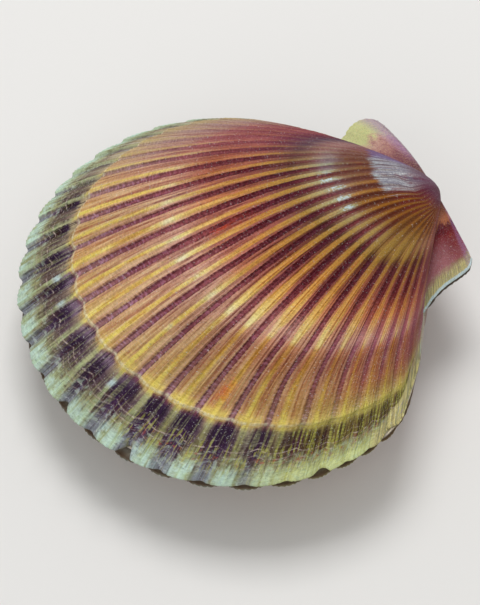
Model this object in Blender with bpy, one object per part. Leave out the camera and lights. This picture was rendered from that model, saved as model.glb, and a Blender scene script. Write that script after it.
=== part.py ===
"""Closed scallop shell: two ribbed valves with their ears, lying on the lower one.

A valve is drawn in its own frame, in millimetres: the beak is the origin, X runs
along the hinge, the ventral margin lies towards -Y and the outside faces +Z.
"""

import math

import bmesh
import bpy
import numpy as np

MM = 0.001

# Disc margin, seen square on: an ellipse placed from the beak.
DISC_CENTRE = (1.6, -37.7)
DISC_HALF_WIDTH = 37.4
DISC_HALF_HEIGHT = 32.8
FLANK_ANGLE = 54.5

# Ear borders from hinge tip to notch, then the flanks that join them to the disc.
LEFT_EAR = ((-19.2, -1.1), (-19.8, -3.2), (-19.2, -6.2), (-18.6, -9.2), (-19.2, -12.0))
LEFT_FLANK = ((-21.4, -13.8), (-26.4, -17.4), (-30.0, -20.4))
RIGHT_EAR = ((15.3, -1.5), (16.8, -3.6), (17.2, -6.4), (18.4, -9.8), (20.0, -12.4))
RIGHT_FLANK = ((22.2, -14.3), (27.6, -18.0), (33.0, -22.2))

# The lower valve's left ear is cut back by a byssal notch.
NOTCHED_EAR = ((-19.2, -1.1), (-19.4, -3.2), (-15.8, -4.6), (-14.6, -6.8), (-18.4, -11.6))

# Rib count along the margin, as a cubic in the angle from the mid-line.
RIB_AT_MIDLINE = 6.58
RIBS_PER_RADIAN = 10.44
RIB_CROWDING = 1.82
FIRST_FURROW = -5
LAST_FURROW = 18

# Each rib's cross-section, as height over position, and its height over its pitch.
RIB_SECTION = ((0.0, 0.0), (0.16, 0.52), (0.38, 0.93), (0.62, 1.0), (0.84, 0.6))
RIB_HEIGHT_RATIO = 0.15
RIB_MEAN = 0.55
EAR_RIBLET = 0.35

# Growth: sizes relative to the full shell, and the step left by a growth halt.
GROWTH = (0.02, 0.045, 0.09, 0.15, 0.23, 0.33, 0.44, 0.56, 0.68, 0.79)
HALT = 0.865
HALT_STEP = 0.4
HALT_SWELL = 0.24
HALT_EDGE = 0.006
EAR_STEP_SHARE = 0.4
MARGIN_THICKNESS = 0.8

# Hollow between the valves.
HOLLOW_GROWTH = (0.16, 0.25, 0.36, 0.5, 0.66, 0.83, 1.0)
HOLLOW_ANGLE = 51.0
HOLLOW_COLUMNS = 24
HOLLOW_INSET = 1.4
HOLLOW_FLATTER = 0.97
HOLLOW_SINK = 0.15
CUT_OVERRUN = 1.5

# Chips in the upper margin: angle from the mid-line, width and depth.
UPPER_CHIPS = ((7.5, 2.2, 0.7), (18.4, 2.6, 1.6), (43.9, 2.0, 0.8), (53.0, 2.4, 0.9))

# How the valves meet and how the shell lies.
HINGE_GAP = 0.3
GAPE_DEGREES = 0.3
BEAK_AT = (-1.62, 35.18, 13.91)
REST_PITCH_DEGREES = 3.4
REST_ROLL_DEGREES = -0.6


def spiral(size, coil, belly):
    """Angle about the hinge that a margin of this size has turned through."""
    return coil * math.log(1.0 / size) + belly * size * (1.0 - size)


def disc_radius(angle, inset=0.0):
    """Distance from the beak to the disc margin along one direction."""
    across, down = math.sin(angle), -math.cos(angle)
    half_width, half_height = DISC_HALF_WIDTH - inset, DISC_HALF_HEIGHT - inset
    square = (across / half_width) ** 2 + (down / half_height) ** 2
    linear = across * DISC_CENTRE[0] / half_width**2 + down * DISC_CENTRE[1] / half_height**2
    rest = (DISC_CENTRE[0] / half_width) ** 2 + (DISC_CENTRE[1] / half_height) ** 2 - 1.0
    return (linear + math.sqrt(linear**2 - square * rest)) / square


def rib_number(angle):
    """Ribs counted from the left, at an angle from the mid-line."""
    return RIB_AT_MIDLINE + RIBS_PER_RADIAN * angle + RIB_CROWDING * angle**3


def rib_slope(angle):
    """Ribs per radian at an angle from the mid-line."""
    return RIBS_PER_RADIAN + 3.0 * RIB_CROWDING * angle**2


def rib_angle(number):
    """Angle from the mid-line of a rib position."""
    angles = np.linspace(-1.2, 1.2, 481)
    return float(np.interp(number, rib_number(angles), angles))


def smooth_points(points, steps):
    """Catmull-Rom curve through points, with the given steps per span."""
    knots = [np.array(point) for point in points]
    knots = [2 * knots[0] - knots[1]] + knots + [2 * knots[-1] - knots[-2]]
    curve = []
    for before, start, end, after in zip(knots, knots[1:], knots[2:], knots[3:]):
        for t in np.linspace(0.0, 1.0, steps, endpoint=False):
            bend = (2 * before - 5 * start + 4 * end - after) * t**2
            twist = (3 * start - before - 3 * end + after) * t**3
            curve.append(start + 0.5 * ((end - before) * t + bend + twist))
    curve.append(knots[-2])
    return curve


def break_margin(skin, chips):
    """Move the points of the last row in towards the beak where the margin is chipped."""
    for point in skin[-1]:
        angle, radius = math.atan2(point[0], -point[1]), math.hypot(point[0], point[1])
        for at, width, depth in chips:
            reach = abs(angle - math.radians(at)) * radius / (width / 2.0)
            if reach < 1.0:
                point[:2] *= 1.0 - depth * (1.0 - reach**2) / radius


def ear_columns(points):
    """Columns along one ear from its tip: margin x and y, riblet height, share of the ledge."""
    columns = []
    for index, (x, y) in enumerate(smooth_points(points, 2)):
        columns.append((x, y, EAR_RIBLET * (index % 2 - 0.5), EAR_STEP_SHARE))
    return columns


def flank_columns(points):
    """Columns along the plain flank between an ear and the ribs."""
    return [(x, y, 0.0, EAR_STEP_SHARE) for x, y in points]


def disc_columns(rib_shift):
    """Columns across all the ribs."""
    columns = []
    for rib in range(FIRST_FURROW, LAST_FURROW):
        for place, height in RIB_SECTION:
            angle = rib_angle(rib + place + rib_shift)
            radius = disc_radius(angle)
            relief = RIB_HEIGHT_RATIO * radius / rib_slope(angle) * (height - RIB_MEAN)
            if abs(angle) < math.radians(FLANK_ANGLE):
                columns.append((radius * math.sin(angle), -radius * math.cos(angle), relief, 1.0))
    return columns


def margin_columns(left_ear, rib_shift):
    """The whole margin from the left ear's tip to the right ear's tip."""
    left = ear_columns(left_ear) + flank_columns(LEFT_FLANK)
    right = ear_columns(RIGHT_EAR) + flank_columns(RIGHT_FLANK)
    return np.array(left + disc_columns(rib_shift) + right[::-1])


def halt_relief(size):
    """Swelling towards the growth halt, which drops away past its ledge."""
    if size > HALT:
        return 0.0
    return HALT_STEP * max(0.0, 1.0 - (HALT - size) / HALT_SWELL)


def swept_skin(margin, sizes, coil, belly, lift):
    """Points of the margin grown at each size and turned about the hinge."""
    skin = np.zeros((len(sizes), len(margin), 3))
    for row, size in enumerate(sizes):
        turn = spiral(size, coil, belly)
        for column, (x, y) in enumerate(margin):
            skin[row, column] = (size * x, size * y * math.cos(turn), lift - size * y * math.sin(turn))
    return skin


def raise_relief(skin, sizes, relief, ledge):
    """Move each point of a skin out along its normal by its rib and ledge height."""
    along, across = np.gradient(skin, axis=0), np.gradient(skin, axis=1)
    normals = np.cross(along, across)
    normals /= np.linalg.norm(normals, axis=2, keepdims=True)
    for row, size in enumerate(sizes):
        height = size * relief + halt_relief(size) * ledge
        skin[row] += normals[row] * height[:, None]


def closed_under_skin(name, skin, base, side):
    """Mesh of a skin closed by a skirt and a flat face, facing up or down by its side."""
    rows, count = skin.shape[:2]
    skin = skin * (1.0, 1.0, side)
    shape = bmesh.new()
    grid = [[shape.verts.new(skin[row, column] * MM) for column in range(count)] for row in range(rows)]
    for row in range(rows - 1):
        for column in range(count - 1):
            corners = (grid[row][column], grid[row + 1][column], grid[row + 1][column + 1])
            shape.faces.new((*corners, grid[row][column + 1]))
    edge = [grid[row][0] for row in range(rows)] + grid[-1][1:]
    edge += [grid[row][-1] for row in range(rows - 2, -1, -1)] + grid[0][-2:0:-1]
    foot = [shape.verts.new((vert.co.x, vert.co.y, side * base * MM)) for vert in edge]
    for index in range(len(edge)):
        after = (index + 1) % len(edge)
        shape.faces.new((edge[index], foot[index], foot[after], edge[after]))
    shape.faces.new(foot[::-1])
    bmesh.ops.recalc_face_normals(shape, faces=shape.faces)
    bmesh.ops.triangulate(shape, faces=shape.faces)
    mesh = bpy.data.meshes.new(name)
    shape.to_mesh(mesh)
    shape.free()
    return mesh


def hollow_mesh(name, coil, belly, side):
    """The space inside one valve, under its ribs, as a cutter."""
    reach = math.radians(HOLLOW_ANGLE)
    margin = []
    for angle in np.linspace(-reach, reach, HOLLOW_COLUMNS):
        radius = disc_radius(angle, HOLLOW_INSET)
        margin.append((radius * math.sin(angle), -radius * math.cos(angle)))
    turns = (HOLLOW_FLATTER * coil, HOLLOW_FLATTER * belly)
    skin = swept_skin(margin, HOLLOW_GROWTH, *turns, -HOLLOW_SINK)
    return closed_under_skin(name, skin, -CUT_OVERRUN, side)


def shell_material(name, colour, roughness):
    """Principled material for one valve."""
    material = bpy.data.materials.new(name)
    material.use_nodes = True
    shader = material.node_tree.nodes["Principled BSDF"]
    shader.inputs["Base Color"].default_value = (*colour, 1.0)
    shader.inputs["Roughness"].default_value = roughness
    shader.inputs["Metallic"].default_value = 0.0
    material.diffuse_color = (*colour, 1.0)
    return material


def valve(name, side, left_ear, coil, belly, rib_shift, chips, material):
    """One valve, facing up or down: a ribbed skin over a flat commissure, hollowed out."""
    columns = margin_columns(left_ear, rib_shift)
    sizes = GROWTH + (HALT - HALT_EDGE, HALT + HALT_EDGE, (HALT + 1.0) / 2.0, 1.0)
    skin = swept_skin(columns[:, :2], sizes, coil, belly, MARGIN_THICKNESS)
    raise_relief(skin, sizes, columns[:, 2], columns[:, 3])
    break_margin(skin, chips)
    piece = bpy.data.objects.new(name, closed_under_skin(name, skin, 0.0, side))
    piece.data.materials.append(material)
    hollow = hollow_mesh(name + "_hollow", coil, belly, side)
    cutter = bpy.data.objects.new(name + "_hollow", hollow)
    cutter.hide_render = True
    cutter.display_type = "WIRE"
    cutter.parent = piece
    cut = piece.modifiers.new("hollow", "BOOLEAN")
    cut.operation = "DIFFERENCE"
    cut.object = cutter
    piece.location = (0.0, 0.0, side * HINGE_GAP / 2.0 * MM)
    piece.rotation_euler = (-side * math.radians(GAPE_DEGREES / 2.0), 0.0, 0.0)
    return piece, cutter


def collection(name):
    """A collection linked to the scene."""
    group = bpy.data.collections.new(name)
    bpy.context.scene.collection.children.link(group)
    return group


def main():
    """Build both valves and lay the shell down."""
    for item in list(bpy.data.objects):
        bpy.data.objects.remove(item, do_unlink=True)
    parts, cutters = collection("scallop_shell"), collection("scallop_shell_cutters")

    rest = bpy.data.objects.new("scallop_shell_rest", None)
    rest.location = [length * MM for length in BEAK_AT]
    rest.rotation_euler = (math.radians(REST_PITCH_DEGREES), math.radians(REST_ROLL_DEGREES), 0.0)
    parts.objects.link(rest)

    tan = shell_material("upper_shell", (0.58, 0.33, 0.20), 0.5)
    olive = shell_material("lower_shell", (0.55, 0.47, 0.33), 0.55)
    upper = valve("upper_valve", 1.0, LEFT_EAR, 0.46, 0.20, 0.0, UPPER_CHIPS, tan)
    lower = valve("lower_valve", -1.0, NOTCHED_EAR, 0.40, 0.14, 0.5, (), olive)
    for piece, cutter in (upper, lower):
        piece.parent = rest
        parts.objects.link(piece)
        cutters.objects.link(cutter)


main()
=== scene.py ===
"""Scallop shell, dressed: two grown valves with ribs, riblets, growth lines and colour bands.

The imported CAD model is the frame. Each valve is drawn in the shell's own frame, in
millimetres: the beak is the origin, X runs along the hinge, the ventral margin lies
towards -Y and the outside of the upper valve faces +Z. The growth law and the relief are
a Geometry Nodes tree, and the colours follow the same rib and growth coordinates.
"""

from __future__ import annotations

import logging
import math
from dataclasses import dataclass, field
from enum import Enum

import bpy
import numpy as np
from mathutils import Matrix, Vector


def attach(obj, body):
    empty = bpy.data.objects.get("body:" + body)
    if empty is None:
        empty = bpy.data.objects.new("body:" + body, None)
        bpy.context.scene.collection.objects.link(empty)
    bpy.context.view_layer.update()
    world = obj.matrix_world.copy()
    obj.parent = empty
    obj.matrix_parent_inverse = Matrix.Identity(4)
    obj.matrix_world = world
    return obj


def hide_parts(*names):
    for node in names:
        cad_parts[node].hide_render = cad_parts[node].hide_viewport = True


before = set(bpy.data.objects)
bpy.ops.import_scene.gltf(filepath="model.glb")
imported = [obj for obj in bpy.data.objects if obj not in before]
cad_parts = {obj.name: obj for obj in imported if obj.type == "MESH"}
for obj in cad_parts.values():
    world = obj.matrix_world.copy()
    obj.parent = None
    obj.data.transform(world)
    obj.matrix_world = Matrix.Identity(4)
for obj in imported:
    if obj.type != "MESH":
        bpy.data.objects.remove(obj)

LOG = logging.getLogger("scallop_shell")
MM = 0.001

# Age at which growth once halted, from 0 at the beak to 1 at the margin.
HALT_AGE = 0.865

# Where the crest lies across a rib, how it leans from rib to rib, and how far it may go.
CREST_MIDDLE = 0.61
CREST_LEAN = 0.028
CREST_LIMITS = (0.39, 0.78)
UPRIGHT_RIB = 6.0


class Zone(Enum):
    """Where a point of the sheet belongs on a valve."""

    SKIN = 0
    EDGE = 1
    INSIDE = 2


# Formulas over node sockets.


class Mix(Enum):
    """What a mix works on, with the word that Blender's sockets use for it."""

    FLOAT = "Float"
    VECTOR = "Vector"
    RGBA = "Color"


@dataclass(frozen=True)
class Wire:
    """A number, vector or colour that runs between nodes, with the usual operators."""

    board: Board
    socket: bpy.types.NodeSocket

    def __add__(self, other: Number) -> Wire:
        """Sum."""
        return self.board.math("ADD", self, other)

    def __radd__(self, other: float) -> Wire:
        """Sum with a plain number first."""
        return self.board.math("ADD", other, self)

    def __sub__(self, other: Number) -> Wire:
        """Difference."""
        return self.board.math("SUBTRACT", self, other)

    def __rsub__(self, other: float) -> Wire:
        """Difference from a plain number."""
        return self.board.math("SUBTRACT", other, self)

    def __mul__(self, other: Number) -> Wire:
        """Product."""
        return self.board.math("MULTIPLY", self, other)

    def __rmul__(self, other: float) -> Wire:
        """Product with a plain number first."""
        return self.board.math("MULTIPLY", other, self)

    def __truediv__(self, other: Number) -> Wire:
        """Quotient."""
        return self.board.math("DIVIDE", self, other)

    def __rtruediv__(self, other: float) -> Wire:
        """A plain number over this one."""
        return self.board.math("DIVIDE", other, self)

    def __neg__(self) -> Wire:
        """This number with its sign turned."""
        return self.board.math("MULTIPLY", self, -1.0)

    def __abs__(self) -> Wire:
        """Size without sign."""
        return self.board.math("ABSOLUTE", self)

    def power(self, exponent: Number) -> Wire:
        """This number raised to a power."""
        return self.board.math("POWER", self, exponent)

    def fract(self) -> Wire:
        """What is left above the whole number below."""
        return self.board.math("FRACT", self)

    def floor(self) -> Wire:
        """The whole number below."""
        return self.board.math("FLOOR", self)

    def sine(self) -> Wire:
        """Sine of this angle in radians."""
        return self.board.math("SINE", self)

    def at_least(self, other: Number) -> Wire:
        """The larger of the two."""
        return self.board.math("MAXIMUM", self, other)

    def at_most(self, other: Number) -> Wire:
        """The smaller of the two."""
        return self.board.math("MINIMUM", self, other)

    def rise(self, start: Number, end: Number) -> Wire:
        """Smooth step from 0 at start to 1 at end."""
        return self.board.remap(self, start, end, 0.0, 1.0)

    def fall(self, start: Number, end: Number) -> Wire:
        """Smooth step from 1 at start to 0 at end."""
        return self.board.remap(self, start, end, 1.0, 0.0)

    def bump(self, centre: Number, reach: Number) -> Wire:
        """Smooth hump of height 1 about a centre, gone at its reach on both sides."""
        return abs(self - centre).fall(0.0, reach)


Number = Wire | float


class Board:
    """Adds nodes to a tree and hands back their outputs as wires."""

    def __init__(self, tree: bpy.types.NodeTree) -> None:
        """Works on this tree."""
        self.tree = tree

    def node(self, kind: str, **settings: object) -> bpy.types.Node:
        """A new node.

        Args:
            kind: its Blender type name.
            settings: properties of the node to set.

        Returns:
            The node.
        """
        node = self.tree.nodes.new(kind)
        for name, value in settings.items():
            setattr(node, name, value)
        return node

    def feed(self, socket: bpy.types.NodeSocket, value: object) -> None:
        """Link a wire to an input, or set the input's own value.

        Args:
            socket: the input.
            value: a wire or a plain value, or None to leave the input alone.
        """
        if isinstance(value, Wire):
            self.tree.links.new(value.socket, socket)
        elif value is not None:
            socket.default_value = value

    def wire(self, socket: bpy.types.NodeSocket) -> Wire:
        """An output as a wire."""
        return Wire(self, socket)

    def math(self, operation: str, *terms: Number) -> Wire:
        """The result of one Math node.

        Args:
            operation: Blender's name of it.
            terms: what goes in, in order.

        Returns:
            The result.
        """
        node = self.node("ShaderNodeMath", operation=operation)
        for socket, term in zip(node.inputs, terms):
            self.feed(socket, term)
        return self.wire(node.outputs[0])

    def vector_math(self, operation: str, *terms: object) -> Wire:
        """The vector result of one Vector Math node.

        Args:
            operation: Blender's name of it.
            terms: what goes in, in order.

        Returns:
            The vector.
        """
        node = self.node("ShaderNodeVectorMath", operation=operation)
        for socket, term in zip(node.inputs, terms):
            self.feed(socket, term)
        return self.wire(node.outputs["Vector"])

    def scaled(self, vector: Wire, factor: Number) -> Wire:
        """A vector made longer by a factor.

        Args:
            vector: the vector.
            factor: how many times longer.

        Returns:
            The longer vector.
        """
        node = self.node("ShaderNodeVectorMath", operation="SCALE")
        self.feed(node.inputs[0], vector)
        self.feed(node.inputs["Scale"], factor)
        return self.wire(node.outputs["Vector"])

    def remap(self, value: Number, start: Number, end: Number, low: Number, high: Number) -> Wire:
        """Smooth change from low to high while the value runs from start to end.

        Args:
            value: what runs.
            start: where the change begins.
            end: where it is over.
            low: the result before it.
            high: the result after it.

        Returns:
            The changed value.
        """
        node = self.node("ShaderNodeMapRange", interpolation_type="SMOOTHSTEP")
        for socket, term in zip(node.inputs, (value, start, end, low, high)):
            self.feed(socket, term)
        return self.wire(node.outputs[0])

    def vector(self, x: Number, y: Number, z: Number) -> Wire:
        """A vector from its three parts.

        Args:
            x: along the first axis.
            y: along the second.
            z: along the third.

        Returns:
            The vector.
        """
        node = self.node("ShaderNodeCombineXYZ")
        for socket, term in zip(node.inputs, (x, y, z)):
            self.feed(socket, term)
        return self.wire(node.outputs[0])

    def parts(self, vector: Wire) -> tuple[Wire, Wire, Wire]:
        """The three parts of a vector.

        Args:
            vector: the vector.

        Returns:
            Its x, y and z.
        """
        node = self.node("ShaderNodeSeparateXYZ")
        self.feed(node.inputs[0], vector)
        return tuple(self.wire(socket) for socket in node.outputs)

    def blend(self, factor: Number, first: object, second: object, kind: Mix = Mix.FLOAT) -> Wire:
        """A mix of two values.

        Args:
            factor: 0 for the first, 1 for the second.
            first: a number, vector or colour.
            second: the other one.
            kind: what is mixed.

        Returns:
            The mixed value.
        """
        node = self.node("ShaderNodeMix", data_type=kind.name)
        named = {socket.identifier: socket for socket in node.inputs}
        self.feed(named["Factor_Float"], factor)
        self.feed(named["A_" + kind.value], first)
        self.feed(named["B_" + kind.value], second)
        result = next(s for s in node.outputs if s.identifier == "Result_" + kind.value)
        return self.wire(result)

    def noise(self, place: Wire, detail: float = 2.0, roughness: float = 0.5) -> Wire:
        """Smooth noise between 0 and 1 at a place given in its own cells.

        Args:
            place: where, counted in cells of the noise.
            detail: how many finer layers it has.
            roughness: how strong the finer layers are.

        Returns:
            The noise.
        """
        node = self.node("ShaderNodeTexNoise")
        self.feed(node.inputs["Vector"], place)
        node.inputs["Scale"].default_value = 1.0
        node.inputs["Detail"].default_value = detail
        node.inputs["Roughness"].default_value = roughness
        return self.wire(node.outputs[0])

    def chance(self, number: Wire) -> Wire:
        """A value between 0 and 1 that is fixed for each number.

        Args:
            number: the number.

        Returns:
            Its value.
        """
        node = self.node("ShaderNodeTexWhiteNoise", noise_dimensions="1D")
        self.feed(node.inputs["W"], number)
        return self.wire(node.outputs["Value"])


# The shell's outline and growth law.


@dataclass(frozen=True)
class RibLaw:
    """How the ribs are counted along the margin, as a cubic in the angle from the mid-line."""

    at_midline: float = 6.58
    per_radian: float = 10.44
    crowding: float = 1.82

    def number(self, angle: float) -> float:
        """Ribs counted from the left at an angle from the mid-line."""
        return self.at_midline + self.per_radian * angle + self.crowding * angle**3

    def slope(self, angle: float) -> float:
        """Ribs per radian at an angle from the mid-line."""
        return self.per_radian + 3.0 * self.crowding * angle**2

    def angle(self, number: float) -> float:
        """Angle from the mid-line of a rib position."""
        angles = np.linspace(-1.2, 1.2, 961)
        return float(np.interp(number, self.number(angles), angles))


@dataclass(frozen=True)
class Disc:
    """The round part of the margin: an ellipse placed from the beak."""

    centre: tuple[float, float] = (1.6, -37.7)
    half_width: float = 37.4
    half_height: float = 32.8
    flank_angle: float = 54.5

    def radius(self, angle: float, inset: float = 0.0) -> float:
        """Distance from the beak to the margin along one direction.

        Args:
            angle: from the mid-line, in radians.
            inset: how far inside the margin.

        Returns:
            The distance in millimetres.
        """
        across, down = math.sin(angle), -math.cos(angle)
        wide, high = self.half_width - inset, self.half_height - inset
        square = (across / wide) ** 2 + (down / high) ** 2
        linear = across * self.centre[0] / wide**2 + down * self.centre[1] / high**2
        rest = (self.centre[0] / wide) ** 2 + (self.centre[1] / high) ** 2 - 1.0
        return (linear + math.sqrt(linear**2 - square * rest)) / square

    def point(self, angle: float, inset: float = 0.0) -> tuple[float, float]:
        """The margin point in one direction."""
        radius = self.radius(angle, inset)
        return radius * math.sin(angle), -radius * math.cos(angle)


@dataclass(frozen=True)
class Chip:
    """A bite broken out of the margin: angle in degrees, width and depth in millimetres."""

    angle: float
    width: float
    depth: float

    def bite(self, angle: float, radius: float) -> float:
        """Share of the radius that is missing at an angle in radians."""
        reach = abs(angle - math.radians(self.angle)) * radius / (self.width / 2.0)
        return self.depth / radius * max(0.0, 1.0 - reach**2)


@dataclass(frozen=True)
class ValveForm:
    """Everything that tells one valve's shape from the other's."""

    name: str
    side: float
    coil: float
    belly: float
    rib_shift: float
    left_ear: tuple[tuple[float, float], ...]
    chips: tuple[Chip, ...]
    lean: float
    rib_height: float
    thickness: float
    inset: float


# Ear borders from the hinge's tip down, and the flanks that join them to the ribs.
LEFT_EAR = ((-18.9, -0.9), (-20.2, -2.3), (-20.4, -4.0), (-19.7, -5.9), (-18.5, -7.4), (-18.2, -10.4))
NOTCHED_EAR = ((-19.2, -1.1), (-19.4, -3.2), (-15.8, -4.6), (-14.6, -6.8), (-18.4, -11.6))
LEFT_FLANK = ((-20.4, -13.2), (-26.4, -17.4), (-30.0, -20.4))
RIGHT_EAR = ((14.0, -1.3), (15.4, -2.6), (16.1, -4.8), (16.7, -7.4), (17.7, -9.8), (19.3, -12.2))
RIGHT_FLANK = ((21.8, -14.3), (27.4, -17.5), (33.0, -22.3))

# Bites broken out of the upper valve's margin.
UPPER_CHIPS = (Chip(7.5, 2.2, 0.7), Chip(18.4, 2.6, 1.6), Chip(43.9, 2.0, 0.8), Chip(53.0, 2.4, 0.9))


def smooth_points(points: list[np.ndarray], steps: int) -> list[np.ndarray]:
    """Catmull-Rom curve through points.

    Args:
        points: the corners, in order.
        steps: how many points each span gets.

    Returns:
        Points along the curve, without the last corner.
    """
    knots = [2 * points[0] - points[1]] + points + [2 * points[-1] - points[-2]]
    curve = []
    for before, start, end, after in zip(knots, knots[1:], knots[2:], knots[3:]):
        for t in np.linspace(0.0, 1.0, steps, endpoint=False):
            bend = (2 * before - 5 * start + 4 * end - after) * t**2
            twist = (3 * start - before - 3 * end + after) * t**3
            curve.append(start + 0.5 * ((end - before) * t + bend + twist))
    return curve


@dataclass(frozen=True)
class Outline:
    """Margin of a valve at full size, one entry per column of its sheet."""

    margin: np.ndarray
    heading: np.ndarray
    rib: np.ndarray
    pitch: np.ndarray
    disc: np.ndarray
    chip: np.ndarray
    cavity: np.ndarray
    rim: np.ndarray


@dataclass(frozen=True)
class OutlineMaker:
    """Lays out the columns of a valve from the left ear's tip to the right ear's tip."""

    ribs: RibLaw = RibLaw()
    disc: Disc = Disc()
    first_furrow: int = -5
    last_furrow: int = 18
    columns_per_rib: int = 18
    ear_steps: int = 6
    ear_share: float = 0.9
    cavity_angle: float = 51.0
    cavity_inset: float = 1.4

    def ear_side(self, ear: tuple, flank: tuple, sign: float) -> list[np.ndarray]:
        """Points from one ear's tip down to the first rib.

        Args:
            ear: the ear's corners.
            flank: the flank's corners.
            sign: -1 on the left and 1 on the right.

        Returns:
            The points.
        """
        edge = self.disc.point(sign * math.radians(self.disc.flank_angle))
        corners = [np.array(point) for point in (*ear, *flank, edge)]
        return smooth_points(corners, self.ear_steps)

    def disc_points(self) -> list[np.ndarray]:
        """Points across all the ribs.

        Returns:
            The points, from left to right.
        """
        count = (self.last_furrow - self.first_furrow) * self.columns_per_rib
        numbers = np.linspace(self.first_furrow, self.last_furrow, count + 1)
        angles = [self.ribs.angle(number) for number in numbers]
        limit = math.radians(self.disc.flank_angle)
        return [np.array(self.disc.point(a)) for a in angles if abs(a) < limit]

    def make(self, form: ValveForm) -> Outline:
        """The outline of one valve.

        Args:
            form: which valve it is.

        Returns:
            Its margin with what each column carries.
        """
        left = self.ear_side(form.left_ear, LEFT_FLANK, -1.0)
        right = self.ear_side(RIGHT_EAR, RIGHT_FLANK, 1.0)
        margin = np.array(left + self.disc_points() + right[::-1])
        heading = np.gradient(margin, axis=0)
        heading /= np.linalg.norm(heading, axis=1, keepdims=True)
        angle = np.arctan2(margin[:, 0], -margin[:, 1])
        radius = np.hypot(margin[:, 0], margin[:, 1])
        rib = self.ribs.number(angle)
        limit = math.radians(self.disc.flank_angle)
        disc = np.where(abs(angle) < limit, 1.0, self.ear_share)
        chip = np.array([sum(c.bite(a, r) for c in form.chips) for a, r in zip(angle, radius)])
        reach = math.radians(self.cavity_angle)
        cavity = (abs(angle) < reach).astype(float)
        inner = [self.disc.point(a, self.cavity_inset) for a in np.clip(angle, -reach, reach)]
        rim = np.where(cavity[:, None] > 0.0, np.array(inner), margin)
        return Outline(margin, heading, rib, radius / self.ribs.slope(angle), disc, chip, cavity, rim)


@dataclass(frozen=True)
class SheetMaker:
    """Builds the flat, closed sheet that the growth law turns into a valve.

    The skin's ages are stretches, each with its start, its end and its number of rows.
    """

    skin_ages: tuple[tuple[float, float, int], ...] = (
        (0.02, 0.12, 14),
        (0.12, 0.84, 94),
        (0.84, 0.855, 3),
        (0.855, 0.878, 14),
        (0.878, 1.0, 26),
    )
    edge_steps: tuple[float, ...] = (0.3, 0.7, 1.0)
    inside_ages: tuple[float, ...] = (1.0, 0.93, 0.83, 0.66, 0.5, 0.36, 0.25, 0.16, 0.13, 0.02)

    def rows(self) -> list[tuple[float, Zone, float]]:
        """Age, zone and share of the edge of each row, from the beak out and back inside.

        Returns:
            One entry for each row.
        """
        ages = [age for start, end, n in self.skin_ages for age in np.linspace(start, end, n, False)]
        rows = [(float(age), Zone.SKIN, 0.0) for age in (*ages, 1.0)]
        rows += [(1.0, Zone.EDGE, step) for step in self.edge_steps]
        return rows + [(age, Zone.INSIDE, 1.0) for age in self.inside_ages]

    def make(self, name: str, outline: Outline, flip: bool) -> bpy.types.Mesh:
        """A sheet folded at the margin and joined at the beak, with an end face at each ear.

        Args:
            name: of the mesh.
            outline: the columns.
            flip: turn the faces round, for the valve that is mirrored downwards.

        Returns:
            A closed mesh that still lies flat, with its growth data as attributes.
        """
        rows, count = self.rows(), len(outline.rib)
        faces = []
        for row in range(len(rows)):
            here, after = row * count, (row + 1) % len(rows) * count
            for column in range(count - 1):
                faces.append((here + column, after + column, after + column + 1, here + column + 1))
        start = [row * count for row in range(len(rows))]
        faces.append(start[::-1])
        faces.append([first + count - 1 for first in start])
        if flip:
            faces = [tuple(reversed(face)) for face in faces]
        ages = np.repeat([age for age, _, _ in rows], count)
        zones = np.repeat([zone.value for _, zone, _ in rows], count)
        margin = np.tile(outline.margin, (len(rows), 1))
        rim = np.tile(outline.rim, (len(rows), 1))
        margin = np.where(zones[:, None] == Zone.INSIDE.value, rim, margin)
        mesh = bpy.data.meshes.new(name)
        flat = np.column_stack((margin * ages[:, None] * MM, np.zeros(len(ages))))
        mesh.from_pydata(flat.tolist(), [], faces)
        self.put(mesh, "age", ages)
        self.put(mesh, "inside", (zones == Zone.INSIDE.value).astype(float))
        self.put(mesh, "edge", np.repeat([share for _, _, share in rows], count))
        for label in ("rib", "pitch", "disc", "chip", "cavity"):
            self.put(mesh, label, np.tile(getattr(outline, label), len(rows)))
        self.put(mesh, "margin", np.column_stack((margin, np.zeros(len(ages)))))
        heading = np.tile(outline.heading, (len(rows), 1))
        self.put(mesh, "heading", np.column_stack((heading, np.zeros(len(ages)))))
        return mesh

    @staticmethod
    def put(mesh: bpy.types.Mesh, name: str, values: np.ndarray) -> None:
        """Store one number or vector per vertex.

        Args:
            mesh: where it is kept.
            name: of the attribute.
            values: one row for each vertex.
        """
        vector = values.ndim == 2
        layer = mesh.attributes.new(name, "FLOAT_VECTOR" if vector else "FLOAT", "POINT")
        layer.data.foreach_set("vector" if vector else "value", values.astype(np.float32).ravel())


@dataclass(frozen=True)
class Relief:
    """Sizes of what stands up from a valve's skin, in millimetres unless it says otherwise."""

    lip: float = 0.4
    rib_mean: float = 0.55
    riblets: float = 0.02
    riblets_per_rib: float = 7.0
    halt: float = HALT_AGE
    halt_step: float = 0.28
    halt_swell: float = 0.24
    lobes: float = 0.006
    wave: float = 0.22
    undulation: float = 0.16
    growth_line: float = 0.07
    roughness: float = 0.10
    grit: float = 0.03


@dataclass(frozen=True)
class RibDrift:
    """How far the ribs stray sideways from straight rays, in rib widths."""

    young_age: float = 0.4
    young_curve: float = 1.5
    young_most: float = 2.5
    left_share: float = 0.5
    crowded_from: float = 14.3
    crowded_span: float = 3.6
    crowding: float = 0.07
    spread: float = 0.40
    bow: float = 0.24
    swing: float = 0.34
    back: float = 0.12
    side: float = 0.12


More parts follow.
